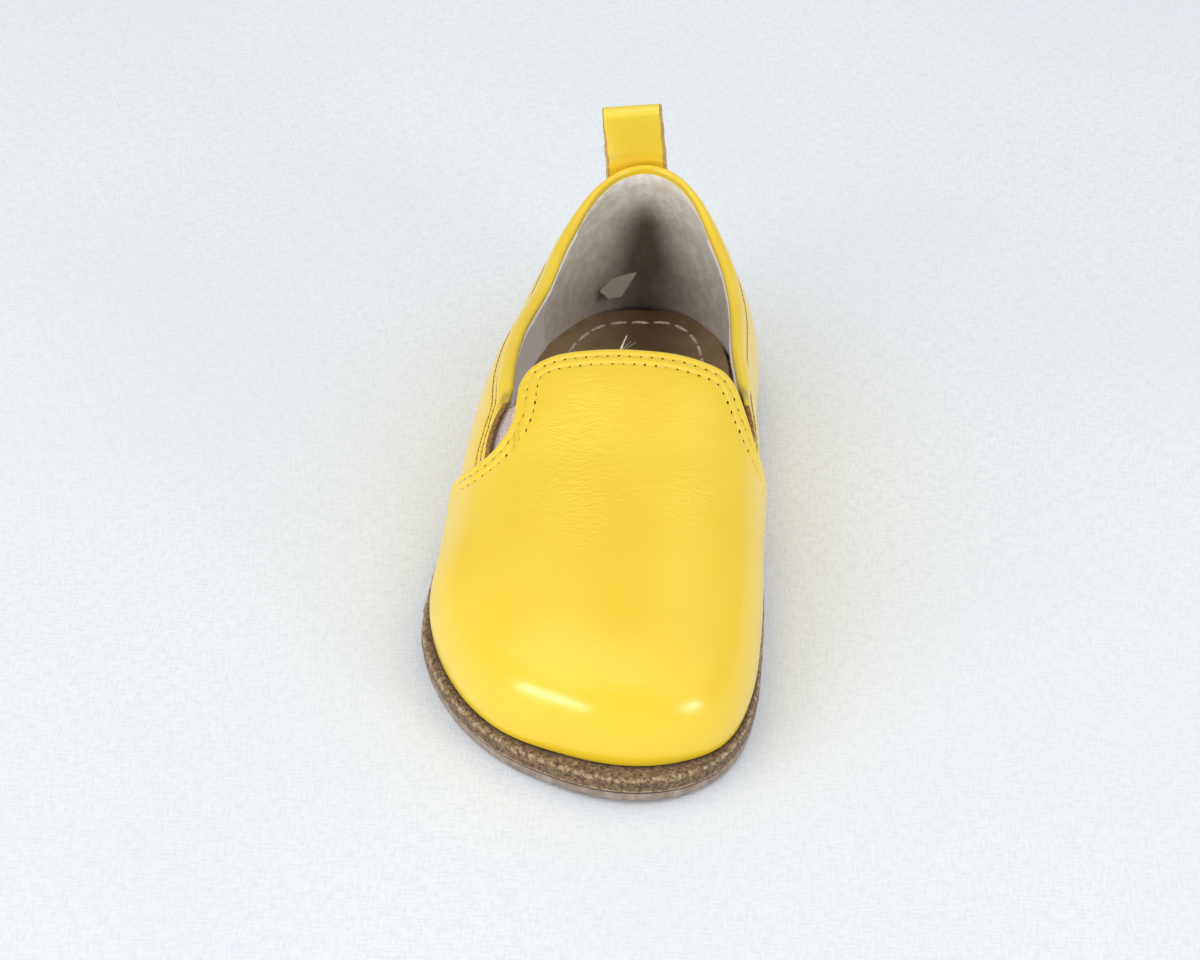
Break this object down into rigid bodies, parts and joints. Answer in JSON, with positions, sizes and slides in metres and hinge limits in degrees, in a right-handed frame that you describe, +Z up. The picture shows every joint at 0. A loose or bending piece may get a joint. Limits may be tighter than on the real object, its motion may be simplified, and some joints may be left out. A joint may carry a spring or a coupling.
{
  "type": "slip-on shoe",
  "caption": "Right-foot low slip-on shoe with a smooth domed vamp, rolled collar, elastic side gores, heel pull tab and flat flexible sole.",
  "frame": {"origin": "middle of the bounding box at the underside of the sole", "axes": "+Z up; the toe points along -Y; the inner (medial) side faces +X"},
  "size_m": [0.0742, 0.1772, 0.063],
  "materials": {
    "upper_leather": "smooth semi-gloss yellow leather",
    "elastic": "pale grey knitted elastic",
    "insole_leather": "matt brown leather",
    "sole_leather": "rough brown leather edge",
    "sole_rubber": "matt pinkish grey"
  },
  "bodies": {
    "root": {"upper": "upper_leather", "gore_lateral": "elastic", "gore_medial": "elastic", "pull_tab": "upper_leather", "insole": "insole_leather", "midsole": "sole_leather", "outsole": "sole_rubber"}
  },
  "joints": []
}
